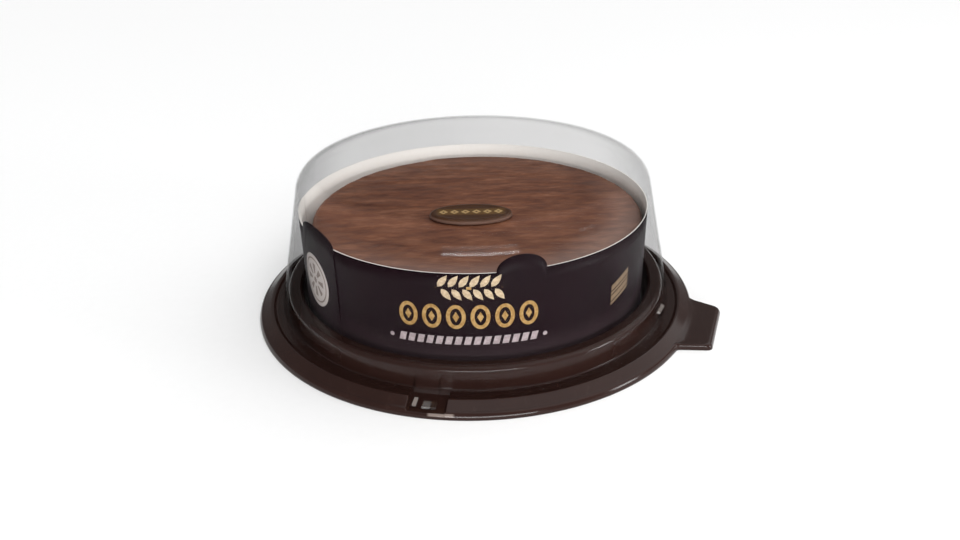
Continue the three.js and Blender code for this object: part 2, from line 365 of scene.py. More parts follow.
def make_lid():
    catch_sides = both_sides(CATCH_AZIMUTH, 2.6, 3.8, 0.08)
    lug_sides = both_sides(LUG_AZIMUTH, 1.8, 3.0, 0.15)
    azimuths = azimuth_steps(1.25, *catch_sides, *lug_sides)
    to_catch = np.radians(turned_from(azimuths, CATCH_AZIMUTH))
    to_lug = np.radians(turned_from(azimuths, LUG_AZIMUTH))

    def beside(turn, radius, half):
        """1 within the half width of a block that stands radially, 0 past it."""
        inside = 1 - ease(np.abs(radius * np.sin(turn)), half - 0.35, half + 0.15)
        return inside * (np.cos(turn) > 0)

    def wall_row(radius, height):
        """A row of the wall: its swell, and out to the catch box and the lug at their heights."""
        off_swell = min(1, abs(height - SWELL_HEIGHT) / SWELL_HALF)
        radius += SWELL_RISE * math.cos(math.pi / 2 * off_swell) ** 2
        chamfer_heights = [CATCH_TOP - CATCH_CHAMFER, CATCH_TOP - 0.1, CATCH_TOP + 0.1]
        chamfer = np.interp(height, chamfer_heights, [0, 2.2, 99])
        box = max(radius, CATCH_RADIUS - chamfer)
        low, high = LUG_HEIGHTS
        lug = ease(height, low - 0.2, low + 0.2) * (1 - ease(height, high - 0.2, high + 0.2))
        radii = radius + (box - radius) * beside(to_catch, CATCH_RADIUS, CATCH_HALF)
        radii = radii + max(0, LUG_RADIUS - radius) * lug * beside(to_lug, LUG_RADIUS, LUG_HALF)
        return radii, height

    profile = spaced(rounded(LID_PROFILE, sweep_step=3.0)[1:], 4.0)
    swell_heights = np.arange(SWELL_HEIGHT + SWELL_HALF, SWELL_HEIGHT - SWELL_HALF, -0.3)
    catch_heights = [
        14, CATCH_TOP + 0.15, CATCH_TOP - 0.15, 12.6, 12, 11.4, CATCH_TOP - CATCH_CHAMFER,
        10, 9.6, 9.2, 8.2, 7.2, 6.6,
    ]

    def at_heights(heights):
        """Points of the profile at the given heights."""
        return np.transpose([np.interp(heights, profile[::-1, 1], profile[::-1, 0]), heights])

    shoulder = profile[profile[:, 1] > swell_heights[0] + 0.2]
    straight = profile[(profile[:, 1] > 15) & (profile[:, 1] < swell_heights[-1] - 0.2)]
    foot = profile[profile[:, 1] < LID_FOOT + 0.01]
    swell, catch = at_heights(swell_heights), at_heights(catch_heights)

    rows = [(radius, LID_TOP) for radius in (8, 24, 40, 54, 66, 75)]
    for radius, height in np.vstack([shoulder, swell, straight, catch, foot]):
        rows.append(wall_row(radius, height))
    tongue = beside(to_catch, 114, CATCH_HALF)
    reach = LID_RIM_RADIUS + (TONGUE_REACH - LID_RIM_RADIUS) * tongue
    past_box = CATCH_RADIUS + 0.2 - LID_FOOT_RADIUS
    start = LID_FOOT_RADIUS + past_box * beside(to_catch, CATCH_RADIUS, CATCH_HALF)
    for share in (0.15, 0.4, 0.7, 0.9, 1.0):
        rows.append((start + (reach - start) * share, LID_FOOT - TONGUE_DROP * tongue * share))
    lid = polar_sheet("lid_clear_dome", azimuths, rows, LID_TOP)
    return give_wall(lid, LID_WALL)


# ---------------------------------------------------------------- cake and plaque

def knife_marks(x, y):
    """Height in millimetres of the marks that a palette knife left in the setting glaze."""
    chance = np.random.default_rng(18)
    height = np.zeros_like(x)
    for _ in range(110):
        centre_x, centre_y = chance.uniform(-80, 80, 2)
        length, width = chance.uniform(14, 46), chance.uniform(2.2, 5.5)
        angle, bend = math.radians(chance.normal(0, 9)), chance.normal(0, 0.0035)
        depth = chance.uniform(0.05, 0.17)
        cosine, sine = math.cos(angle), math.sin(angle)
        along = (x - centre_x) * cosine + (y - centre_y) * sine
        across = (y - centre_y) * cosine - (x - centre_x) * sine - bend * along**2
        fade = np.exp(-((along / length) ** 4))
        trough = np.exp(-((across / width) ** 2))
        ridge = np.exp(-(((across - width * 1.25) / (0.5 * width)) ** 2))
        height += depth * fade * (0.8 * ridge - trough)
    return height


def make_cake():
    """A slightly uneven round cake, sunk and drawn in so that its relief stays in the plain one."""
    sunk, drawn_in = 0.16, 0.1
    azimuths = azimuth_steps(0.75)
    profile = rounded([
        (0, CAKE_TOP),
        (CAKE_RADIUS - 0.8, CAKE_TOP, CAKE_EDGE),
        (CAKE_RADIUS - 1.1, FOOD_BASE + 5.4, 2.0),
        (CAKE_RADIUS, FOOD_BASE + 3.4, 2.0),
        (CAKE_RADIUS, FOOD_BASE, 0.8),
        (CAKE_RADIUS - 4, FOOD_BASE),
    ], sweep_step=10)
    flat = [(radius, CAKE_TOP) for radius in np.arange(1.2, profile[1][0], 1.25)]
    points = np.vstack([flat, spaced(profile[1:], 2.2)])
    angles = np.radians(azimuths)
    settle = np.random.default_rng(7).normal(0, 1, (8, 2))
    rows = []
    for radius, height in points:
        x, y = radius * np.cos(angles), radius * np.sin(angles)
        high = ease(height, CAKE_TOP - 6, CAKE_TOP - 0.5)
        low = 1 - ease(height, FOOD_BASE, FOOD_BASE + 1.5)
        sag = sum(
            settle[n, 0] * np.cos((n + 2) * angles) + settle[n, 1] * np.sin((n + 2) * angles)
            for n in range(len(settle))
        )
        rim = ease(radius, 40, CAKE_RADIUS - 2)
        lift = high * (knife_marks(x, y) - sunk - 0.09 * rim * np.abs(sag) / 3)
        bulge = (1 - high) * (1 - low) * 0.12 * sag / 3
        rows.append((radius + bulge - drawn_in, height + lift))
    middle = CAKE_TOP + float(knife_marks(np.zeros(1), np.zeros(1))[0]) - sunk
    return polar_sheet("cake_glazed", azimuths, rows, middle, (CAKE_SHIFT, 0), FOOD_BASE)


def make_plaque():
    """A moulded oval: soft bevel, fine raised border and a top that sinks a trace to its middle."""
    # Distance in from the edge, and height from the top.
    levels = [
        (12.0, -0.22), (8.0, -0.2), (4.6, -0.18), (3.6, -0.16), (3.1, -0.06),
        (2.5, -0.02), (1.9, -0.02), (1.2, -0.1), (0.7, -0.3), (0.35, -0.62),
        (0.1, -1.0), (0.0, -1.5), (0.0, -2.1), (0.3, -2.45), (0.8, -2.6),
    ]
    angles = np.radians(azimuth_steps(3.0))
    middle_x, middle_y = PLAQUE_CENTRE
    points = [(middle_x, middle_y, PLAQUE_TOP + levels[0][1])]
    for inset, drop in levels:
        along = (PLAQUE_HALF_LENGTH - inset) * np.cos(angles)
        across = (PLAQUE_HALF_WIDTH - inset) * np.sin(angles)
        heights = np.full_like(angles, PLAQUE_TOP + drop)
        points += list(zip(middle_x + along, middle_y + across, heights))
    points.append((middle_x, middle_y, PLAQUE_BASE))
    return plain_mesh("plaque_oval", points, sheet_faces(len(angles), len(levels), closed=True))


# ---------------------------------------------------------------- collar

def make_collar():
    """One strip of board: it starts under the lap, runs once round and laps over its own start."""
    from_side_to_side = np.cos(np.linspace(0, math.pi, 33))
    turns = np.concatenate([
        np.arange(OVERLAP_START - 360, OVERLAP_START, 1.5),
        OVERLAP_START + np.linspace(0, 1.2, 5),
        np.arange(OVERLAP_START + 1.5, OVERLAP_END + 0.1, 1.5),
        LIFT_AZIMUTH - LIFT_HALF_ANGLE * from_side_to_side,
        FLAP_AZIMUTH - FLAP_HALF_ANGLE * from_side_to_side,
    ])
    turns = np.unique(np.round(turns, 3))

    def half_round(azimuth, half_angle, height):
        """How far a half-round tab stands above the top edge at each turn."""
        return height * np.sqrt(np.clip(1 - ((turns - azimuth) / half_angle) ** 2, 0, 1))

    lapped = ease(turns, OVERLAP_START - 2.5, OVERLAP_START)
    inner = COLLAR_RADIUS - COLLAR_BOARD + (COLLAR_BOARD + LAP_GAP) * lapped
    rise = OVERLAP_RISE * ease(turns, OVERLAP_START - 14, OVERLAP_START + 2)
    lift = half_round(LIFT_AZIMUTH, LIFT_HALF_ANGLE, LIFT_HEIGHT)
    flap = half_round(FLAP_AZIMUTH, FLAP_HALF_ANGLE, FLAP_HEIGHT)
    top = COLLAR_TOP + rise + lift + flap
    on_tab = lift + flap > 0.01
    shares = np.linspace(0, 1, 9)
    angles = np.radians(turns)
    points = []
    for radii in (inner, inner + COLLAR_BOARD - LAP_GAP):
        for share in shares:
            heights = FOOD_BASE + (top - FOOD_BASE) * share
            points += list(zip(radii * np.cos(angles), radii * np.sin(angles), heights))
    count, levels = len(turns), len(shares)

    def quad(*corners):
        """A face from four corners, each given as side (0 in, 1 out), level and turn."""
        return tuple((side * levels + level) * count + turn for side, level, turn in corners)

    outside, inside, bare_edges, inked_edges = [], [], [], []
    high, end = levels - 1, count - 1
    for turn in range(end):
        after = turn + 1
        for low in range(high):
            up = low + 1
            outside.append(quad((1, low, turn), (1, low, after), (1, up, after), (1, up, turn)))
            inside.append(quad((0, low, turn), (0, up, turn), (0, up, after), (0, low, after)))
        top_edges = inked_edges if on_tab[turn] or on_tab[after] else bare_edges
        top_edges.append(quad((0, high, turn), (1, high, turn), (1, high, after), (0, high, after)))
        bare_edges.append(quad((0, 0, turn), (0, 0, after), (1, 0, after), (1, 0, turn)))
    for low in range(high):
        up = low + 1
        inked_edges.append(quad((0, low, 0), (1, low, 0), (1, up, 0), (0, up, 0)))
        inked_edges.append(quad((0, low, end), (0, up, end), (1, up, end), (1, low, end)))
    collar = plain_mesh("collar_board", points, outside + inside + bare_edges + inked_edges)
    collar.data.materials.append(printed_board())
    collar.data.materials.append(bare_board())
    bare_until = len(outside) + len(inside) + len(bare_edges)
    for index, polygon in enumerate(collar.data.polygons):
        polygon.material_index = 1 if len(outside) <= index < bare_until else 0
        polygon.use_smooth = index < len(outside) + len(inside)
    return collar


# ---------------------------------------------------------------- print on the collar

def flat_motif(name, outlines):
    """A thin flat shape from closed outlines in millimetres; an outline in another is a hole."""
    sheet = bmesh.new()
    for outline in outlines:
        corners = [sheet.verts.new((x * MM, 0, y * MM)) for x, y in outline]
        for index, corner in enumerate(corners):
            sheet.edges.new((corner, corners[(index + 1) % len(corners)]))
    bmesh.ops.triangle_fill(sheet, use_beauty=True, edges=sheet.edges[:])
    raised = bmesh.ops.extrude_face_region(sheet, geom=sheet.faces[:])
    lifted = [item for item in raised["geom"] if isinstance(item, bmesh.types.BMVert)]
    bmesh.ops.translate(sheet, verts=lifted, vec=(0, -PRINT_THICKNESS * MM, 0))
    bmesh.ops.recalc_face_normals(sheet, faces=sheet.faces[:])
    mesh = bpy.data.meshes.new(name)
    sheet.to_mesh(mesh)
    sheet.free()
    motif = bpy.data.objects.new(name, mesh)
    bpy.context.scene.collection.objects.link(motif)
    return motif


def oval(half_width, half_height, sides=28):
    angles = [2 * math.pi * side / sides for side in range(sides)]
    return [(half_width * math.cos(angle), half_height * math.sin(angle)) for angle in angles]


def lozenge(half_width, half_height):
    return [(half_width, 0), (0, half_height), (-half_width, 0), (0, -half_height)]


def leaf(length, width, angle, centre):
    """A pointed leaf whose stalk end lies at the centre given."""
    turn = math.radians(angle)
    outline = [(0, 0)]
    for side in (-1, 1):
        shares = (0.2, 0.45, 0.7, 1.0) if side < 0 else (0.7, 0.45, 0.2)
        for share in shares:
            bulge = side * width / 2 * math.sin(math.pi * share**0.8) if share < 1 else 0
            outline.append((length * share, bulge))
    return [
        (
            centre[0] + x * math.cos(turn) - y * math.sin(turn),
            centre[1] + x * math.sin(turn) + y * math.cos(turn),
        )
        for x, y in outline
    ]


def row_tree():
    """Geometry nodes that repeat a flat motif along a row and bend the row round the collar."""
    tree = bpy.data.node_groups.new("motif_row_round_collar", "GeometryNodeTree")
    face = tree.interface
    face.new_socket("Motif", in_out="INPUT", socket_type="NodeSocketGeometry")
    for label, kind in (
        ("Count", "NodeSocketInt"), ("Pitch", "NodeSocketFloat"), ("First", "NodeSocketFloat"),
        ("Height", "NodeSocketFloat"), ("Radius", "NodeSocketFloat"), ("Ink", "NodeSocketMaterial"),
    ):
        face.new_socket(label, in_out="INPUT", socket_type=kind)
    face.new_socket("Row", in_out="OUTPUT", socket_type="NodeSocketGeometry")

    def add(kind, **settings):
        node = tree.nodes.new(kind)
        for setting, value in settings.items():
            setattr(node, setting, value)
        return node

    def link(source, socket):
        tree.links.new(source, socket)

    given = add("NodeGroupInput").outputs
    places = add("GeometryNodeMeshLine", mode="OFFSET")
    start, step = add("ShaderNodeCombineXYZ"), add("ShaderNodeCombineXYZ")
    link(given["First"], start.inputs["X"])
    link(given["Height"], start.inputs["Z"])
    link(given["Pitch"], step.inputs["X"])
    link(given["Count"], places.inputs["Count"])
    link(start.outputs[0], places.inputs["Start Location"])
    link(step.outputs[0], places.inputs["Offset"])

    copies = add("GeometryNodeInstanceOnPoints")
    link(places.outputs["Mesh"], copies.inputs["Points"])
    link(given["Motif"], copies.inputs["Instance"])
    row = add("GeometryNodeRealizeInstances")
    link(copies.outputs["Instances"], row.inputs["Geometry"])

    place = add("ShaderNodeSeparateXYZ")
    link(add("GeometryNodeInputPosition").outputs[0], place.inputs[0])
    outward = add("ShaderNodeMath", operation="SUBTRACT")
    link(given["Radius"], outward.inputs[0])
    link(place.outputs["Y"], outward.inputs[1])
    angle = add("ShaderNodeMath", operation="DIVIDE")
    link(place.outputs["X"], angle.inputs[0])
    link(given["Radius"], angle.inputs[1])
    bent = add("ShaderNodeCombineXYZ")
    for axis, wave, sign in (("X", "SINE", 1), ("Y", "COSINE", -1)):
        share = add("ShaderNodeMath", operation=wave)
        link(angle.outputs[0], share.inputs[0])
        reach = add("ShaderNodeMath", operation="MULTIPLY")
        link(outward.outputs[0], reach.inputs[0])
        link(share.outputs[0], reach.inputs[1])
        signed = add("ShaderNodeMath", operation="MULTIPLY")
        signed.inputs[1].default_value = sign
        link(reach.outputs[0], signed.inputs[0])
        link(signed.outputs[0], bent.inputs[axis])
    link(place.outputs["Z"], bent.inputs["Z"])
    wrapped = add("GeometryNodeSetPosition")
    link(row.outputs[0], wrapped.inputs["Geometry"])
    link(bent.outputs[0], wrapped.inputs["Position"])
    inked = add("GeometryNodeSetMaterial")
    link(wrapped.outputs[0], inked.inputs["Geometry"])
    link(given["Ink"], inked.inputs["Material"])
    link(inked.outputs[0], add("NodeGroupOutput").inputs["Row"])
    return tree


def printed_row(tree, motif, ink, middle, height, count=1, pitch=0.0):
    """Repeats a motif about a middle place, measured along the collar's face from its front."""
    modifier = motif.modifiers.new("row", "NODES")
    modifier.node_group = tree
    values = {
        "Count": count,
        "Pitch": pitch * MM,
        "First": (middle - pitch * (count - 1) / 2) * MM,
        "Height": height * MM,
        "Radius": (COLLAR_RADIUS + PRINT_LIFT) * MM,
        "Ink": ink,
    }
    for item in tree.interface.items_tree:
        if item.item_type == "SOCKET" and item.name in values:
            modifier[item.identifier] = values[item.name]
    return as_plain(motif)


def one_piece(name, parts):
    """Joins finished meshes of one material into one object and removes the parts."""
    joined = bmesh.new()
    for part in parts:
        joined.from_mesh(part.data)
    for face in joined.faces:
        face.material_index = 0
    mesh = bpy.data.meshes.new(name)
    joined.to_mesh(mesh)
    joined.free()
    mesh.materials.append(parts[0].data.materials[-1])
    for part in parts:
        bpy.data.objects.remove(part)
    piece = bpy.data.objects.new(name, mesh)
    bpy.context.scene.collection.objects.link(piece)
    return piece


def make_print(gold, pale, grey, deep):
    """Gold medallions and stem, pale leaves, grey dashes and dots, and deep gold slanting lines."""
    tree = row_tree()
    arc = math.radians(1) * COLLAR_RADIUS

    medallion = flat_motif("medallion", [oval(4.5, 6.2), oval(2.7, 4.4), lozenge(1.5, 2.7)])
    medallions = printed_row(tree, medallion, gold, middle=-3.6, height=36.4, count=6, pitch=11.1)
    leaves_up = flat_motif("leaf_up", [leaf(7.4, 3.2, 52, (-0.8, 0.5))])
    leaves_down = flat_motif("leaf_down", [leaf(7.0, 3.2, -52, (0.8, -0.5))])
    sprig = [
        printed_row(tree, leaves_up, pale, middle=-4.2, height=51.0, count=6, pitch=4.8),
        printed_row(tree, leaves_down, pale, middle=-4.2, height=51.0, count=6, pitch=4.8),
    ]
    stem = printed_row(tree, flat_motif("stem", [lozenge(15.6, 0.7)]), gold, middle=-3, height=51.0)

    dash = flat_motif("dash", [[(-1.9, -2.1), (1.1, -2.1), (2.2, 2.1), (-0.8, 2.1)]])
    dashes = printed_row(tree, dash, grey, middle=-4, height=24, count=15, pitch=4.4)
    dot = flat_motif("dot", [oval(1.1, 1.1, 12)])
    dots = printed_row(tree, dot, grey, middle=-4, height=24, count=2, pitch=72.6)

    slanting = []
    places = np.linspace(-7.4, 7.4, 11)
    for at, thick in ((-5.4, 1.4), (-3.3, 2.8), (0.2, 1.4), (2.3, 2.8)):
        lower = [(place, at + 0.3 * place) for place in places]
        upper = [(place, at + thick + 0.3 * place) for place in places[::-1]]
        slanting.append(lower + upper)
    lines = flat_motif("slanting_lines", slanting)
    panel = printed_row(tree, lines, deep, middle=49.5 * arc, height=33.4)
    return (
        one_piece("collar_gold_print", [medallions, stem]),
        one_piece("collar_pale_print", sprig),
        one_piece("collar_grey_print", [dashes, dots]),
        one_piece("collar_deep_print", [panel]),
    )


def make_seal():
    """A round paper seal on the collar's lap."""
    sides = np.radians(np.arange(0, 360, 7.5))
    middle = math.radians(SEAL_AZIMUTH)
    rings = [(radius, SEAL_LIFT) for radius in np.linspace(0, SEAL_RADIUS - 0.5, 9)[1:]]
    rings += [(SEAL_RADIUS - 0.2, 0.05), (SEAL_RADIUS, 0.0)]
    flat = [(0.0, SEAL_HEIGHT, SEAL_LIFT)]
    for radius, lift in rings:
        for side in sides:
            flat.append((radius * math.cos(side), SEAL_HEIGHT + radius * math.sin(side), lift))
    along, heights, lifts = np.array(flat).T
    azimuths = middle + along / COLLAR_RADIUS
    reach = COLLAR_RADIUS + COLLAR_BOARD + LAP_GAP + lifts
    points = np.array([reach * np.cos(azimuths), reach * np.sin(azimuths), heights]).T
    seal = plain_mesh("collar_seal", points, sheet_faces(len(sides), len(rings)))
    return give_wall(seal, SEAL_THICKNESS)


def seal_paper():
    """Pale paper with a plain rosette: a ring, eight petals and a dot."""
    finish = Finish("seal_pale_paper")
    ahead, aside, height = finish.seen_from(SEAL_AZIMUTH)
    across = finish.math("ARCTAN2", aside, ahead) * COLLAR_RADIUS
    up = height - SEAL_HEIGHT
    away = finish.distance(across, up)
    petal = finish.math("COSINE", 8 * finish.math("ARCTAN2", up, across))
    ring = finish.slope(abs(away - 11.6), 0.35, 0.55, 1, 0)
    petals = finish.slope(petal, 0.0, 0.3) * finish.slope(abs(away - 6.2), 2.5, 2.8, 1, 0)
    dot = finish.slope(away, 1.5, 1.8, 1, 0)
    fibre = finish.noise(finish.stretched((800, 800, 800)), detail=3)
    ink = finish.math("MINIMUM", ring + petals + dot, 1.0)
    paper = finish.mixed(fibre, linear(174, 166, 162), linear(194, 186, 181))
    surface = finish.body(
        Base_Color=finish.mixed(ink, paper, linear(122, 110, 104)),
        Roughness=0.5 + 0.1 * fibre,
        IOR=1.4,
        Normal=finish.bump(fibre, distance=0.00004, strength=0.3),
    )
    return finish.done(surface)


# ---------------------------------------------------------------- finishes

class Shade:
    """An output of a finish's node tree. Arithmetic on it adds Math nodes."""

    def __init__(self, finish, socket):
        self.finish = finish
        self.socket = socket

    def __add__(self, other):
        return self.finish.math("ADD", self, other)

    def __radd__(self, other):
        return self.finish.math("ADD", other, self)

    def __sub__(self, other):
        return self.finish.math("SUBTRACT", self, other)

    def __rsub__(self, other):
        return self.finish.math("SUBTRACT", other, self)

    def __mul__(self, other):
        return self.finish.math("MULTIPLY", self, other)

    def __rmul__(self, other):
        return self.finish.math("MULTIPLY", other, self)

    def __truediv__(self, other):
        return self.finish.math("DIVIDE", self, other)

    def __rtruediv__(self, other):
        return self.finish.math("DIVIDE", other, self)

    def __abs__(self):
        return self.finish.math("ABSOLUTE", self)


class Finish:
    """A material under construction."""

    def __init__(self, name):
        self.material = bpy.data.materials.new(name)
        self.material.use_nodes = True
        self.tree = self.material.node_tree
        self.tree.nodes.clear()

    def node(self, kind, settings=None, inputs=None, output=0):
        """Adds a node: its settings or ramp stops first, then values or links of its sockets."""
        node = self.tree.nodes.new(kind)
        for setting, value in (settings or {}).items():
            if setting == "stops":
                ramp = node.color_ramp
                while len(ramp.elements) < len(value):
                    ramp.elements.new(0.5)
                for element, (place, colour) in zip(ramp.elements, value):
                    element.position = place
                    element.color = (*colour, 1)
            else:
                setattr(node, setting, value)
        for label, value in (inputs or {}).items():
            socket = node.inputs[label]
            if isinstance(value, Shade):
                self.tree.links.new(value.socket, socket)
            else:
                socket.default_value = value
        return Shade(self, node.outputs[output]) if node.outputs else None

    def math(self, operation, *values):
        return self.node("ShaderNodeMath", {"operation": operation}, dict(enumerate(values)))

    def slope(self, value, start, end, low=0.0, high=1.0):
        """Maps start..end to low..high, smoothly and no further."""
        return self.node(
            "ShaderNodeMapRange",
            {"interpolation_type": "SMOOTHSTEP", "clamp": True},
            {"Value": value, "From Min": start, "From Max": end, "To Min": low, "To Max": high},
        )

    def band(self, value, rise, fall):
        """1 between two slopes, each given as its start and end, and 0 outside them."""
        return self.slope(value, *rise) * self.slope(value, *fall, 1, 0)

    def distance(self, across, along):
        return self.math("SQRT", across * across + along * along)

    def place(self):
        return self.node("ShaderNodeTexCoord", output="Object")

    def stretched(self, scale, turn=0.0):
        """Object coordinates, turned about Z and scaled, in units per metre."""
        return self.node(
            "ShaderNodeMapping",
            {"vector_type": "POINT"},
            {"Vector": self.place(), "Rotation": (0, 0, math.radians(turn)), "Scale": scale},
        )

    def seen_from(self, azimuth):
        """Place in millimetres for one who faces an azimuth from the axis: ahead, left and up."""
        place = self.place()
        x, y, z = (
            self.node("ShaderNodeSeparateXYZ", inputs={0: place}, output=axis) / MM
            for axis in "XYZ"
        )
        cosine, sine = math.cos(math.radians(azimuth)), math.sin(math.radians(azimuth))
        return x * cosine + y * sine, y * cosine - x * sine, z

    def noise(self, vector, detail, rough=0.5, warp=0.0):
        shape = {"Detail": detail, "Roughness": rough, "Distortion": warp}
        return self.node("ShaderNodeTexNoise", inputs={"Vector": vector, "Scale": 1.0, **shape})

    def mixed(self, share, first, second):
        """A colour between two colours."""
        return self.node(
            "ShaderNodeMix",
            {"data_type": "RGBA", "blend_type": "MIX", "clamp_factor": True},
            {0: share, 6: first, 7: second},
            output=2,
        )

    def bump(self, height, distance, strength):
        return self.node(
            "ShaderNodeBump",
            inputs={"Height": height, "Distance": distance, "Strength": strength},
        )

    def body(self, **inputs):
        labelled = {label.replace("_", " "): value for label, value in inputs.items()}
        return self.node("ShaderNodeBsdfPrincipled", inputs=labelled)

    def done(self, surface):
        self.node("ShaderNodeOutputMaterial", inputs={"Surface": surface})
        return self.material


def linear(red, green, blue):
    """Screen values 0-255 as the linear colour that a socket takes."""
    def channel(value):
        share = value / 255
        return share / 12.92 if share <= 0.04045 else ((share + 0.055) / 1.055) ** 2.4

    return channel(red), channel(green), channel(blue), 1.0


def tray_plastic():
    """Dark gloss with faint scuffs, and a painted highlight on the lip at one side of the pocket.
    """
    finish = Finish("tray_dark_brown_plastic")
    cloud = finish.noise(finish.stretched((60, 60, 60)), detail=2)
    scuffs = finish.noise(finish.stretched((340, 90, 340), turn=24), detail=4, rough=0.65)
    waves = finish.noise(finish.stretched((34, 34, 34)), detail=1)
    worn = finish.slope(scuffs, 0.56, 0.78)
    colour = finish.mixed(cloud, linear(36, 21, 18), linear(43, 27, 23))
    colour = finish.mixed(worn * 0.08, colour, linear(84, 68, 62))
    # Painted highlight: a pale stripe on the lip beside the pocket stands in for the light the lip
    # catches there.
    ahead, aside, height = finish.seen_from(POCKET_AZIMUTH + 3.4)
    painted_lip_highlight = finish.slope(ahead, 118.6, 119.0) * finish.slope(abs(aside), 4.8, 6.6, 1, 0)
    painted_lip_highlight = painted_lip_highlight * finish.band(height, (1.2, 1.7), (2.6, 3.0))
    colour = finish.mixed(painted_lip_highlight, colour, linear(120, 108, 102))
    surface = finish.body(
        Base_Color=colour,
        Roughness=0.12 + 0.04 * cloud + 0.08 * worn,
        IOR=1.31,
        Normal=finish.bump(waves, distance=0.0005, strength=0.12),
    )
    return finish.done(surface)


def lid_plastic():
    """Clear where it is looked through straight, greyer aslant and, by painted shade, more so on
    the -X side, a mirror at its outlines, and painted glints: pale patches on the tongue and lug."""
    finish = Finish("lid_clear_plastic")
    waves = finish.noise(finish.stretched((26, 26, 26)), detail=1.5)
    aslant = finish.node("ShaderNodeLayerWeight", inputs={"Blend": 0.5}, output="Facing")

    # Painted glints: pale, rougher, unmetallic patches on the tongue's hinge and tip and on the
    # lug's top stand in for highlights.
    ahead, aside, height = finish.seen_from(CATCH_AZIMUTH)
    on_tongue = finish.slope(abs(aside), CATCH_HALF + 0.3, CATCH_HALF + 0.8, 1, 0)
    hinge = finish.band(ahead, (112.2, 112.8), (117.4, 118.2))
    hinge = hinge * finish.band(aside, (-4.9, -4.5), (-3.0, -2.6))
    tip = finish.slope(ahead, 113, 115) * finish.slope(aside, -0.4, 0.4)
    tip = tip * finish.slope(aside, 3.0, 4.2, 0.45, 0.1)
    ahead, aside, _ = finish.seen_from(LUG_AZIMUTH)
    lug_top = LUG_HEIGHTS[1]
    lug = finish.band(height, (lug_top - 1.2, lug_top - 0.4), (lug_top + 0.3, lug_top + 0.6))
    lug = lug * finish.slope(abs(aside), LUG_HALF, LUG_HALF + 0.5, 1, 0)
    lug = lug * finish.slope(ahead, 104, 105.6)
    painted_glints = finish.math("MINIMUM", on_tongue * (hinge + tip) + 0.7 * lug, 1.0)

    # How much of the gloss shows: hardly any where the sheet is looked through straight, a little
    # more on the upper half of the swell, which draws a fine line, and more the further aslant.
    off_line = abs(height - (SWELL_HEIGHT + SWELL_HALF / 2))
    seen = finish.slope(off_line, 0.5, 1.4, 0.005, 0.001)
    # Painted shade: the sheet is made greyer towards -X, standing in for a darker room on that
    # side.
    towards_minus_x, _, _ = finish.seen_from(180)
    painted_shade_minus_x = finish.slope(towards_minus_x, -30, 70, 1.0, 1.4)
    seen = seen + painted_shade_minus_x * finish.slope(aslant, 0.33, 0.76, 0.0, 0.14)
    seen = seen + finish.slope(aslant, 0.88, 1.0, 0.0, 0.6)
    seen = seen + 0.6 * painted_glints
    dimmed = finish.slope(aslant, 0.12, 0.5)
    gloss_colour = finish.mixed(dimmed, (0.95, 0.95, 0.95, 1), (0.07, 0.07, 0.07, 1))
    gloss = finish.body(
        Base_Color=finish.mixed(painted_glints, gloss_colour, linear(150, 140, 134)),
        Metallic=1.0 - painted_glints,
        Roughness=0.06 + 0.02 * waves + 0.4 * painted_glints,
        Specular_Tint=(0.2, 0.2, 0.2, 1),
        Normal=finish.bump(waves, distance=0.0003, strength=0.03),
    )
    clear = finish.node("ShaderNodeBsdfTransparent", inputs={"Color": (0.986, 0.985, 0.985, 1)})
    surface = finish.node("ShaderNodeMixShader", inputs={0: seen, 1: clear, 2: gloss})
    return finish.done(surface)


def printed_board():
    """Near-black violet ink that grows paler towards the foot of the board."""
    finish = Finish("collar_printed_face")
    fibre = finish.noise(finish.stretched((900, 900, 260)), detail=3, rough=0.6)
    cloud = finish.noise(finish.stretched((45, 45, 45)), detail=2)
    _, _, height = finish.seen_from(0)
    towards_foot = finish.slope(height, 8, 28, 1, 0)
    colour = finish.mixed(cloud, linear(16, 5, 10), linear(24, 9, 15))
    surface = finish.body(
        Base_Color=finish.mixed(towards_foot, colour, linear(56, 46, 49)),
        Roughness=0.4 + 0.08 * fibre,
        IOR=1.2,
        Normal=finish.bump(fibre, distance=0.00008, strength=0.35),
    )
    return finish.done(surface)


def bare_board():
    finish = Finish("collar_bare_back_and_edges")
    fibre = finish.noise(finish.stretched((900, 900, 260)), detail=3, rough=0.6)
    surface = finish.body(
        Base_Color=finish.mixed(fibre, linear(243, 238, 231), linear(254, 251, 247)),
        Roughness=0.8 + 0.08 * fibre,
        IOR=1.45,
        Normal=finish.bump(fibre, distance=0.00008, strength=0.35),
    )
    return finish.done(surface)


def print_ink(name, light, deep, metal, rough):
    finish = Finish(name)
    fleck = finish.noise(finish.stretched((700, 700, 700)), detail=3, rough=0.6)
    surface = finish.body(
        Base_Color=finish.mixed(finish.slope(fleck, 0.35, 0.7), deep, light),
        Metallic=metal,
        Roughness=rough + 0.12 * fleck,
        Normal=finish.bump(fleck, distance=0.00004, strength=0.3),
    )
    return finish.done(surface)


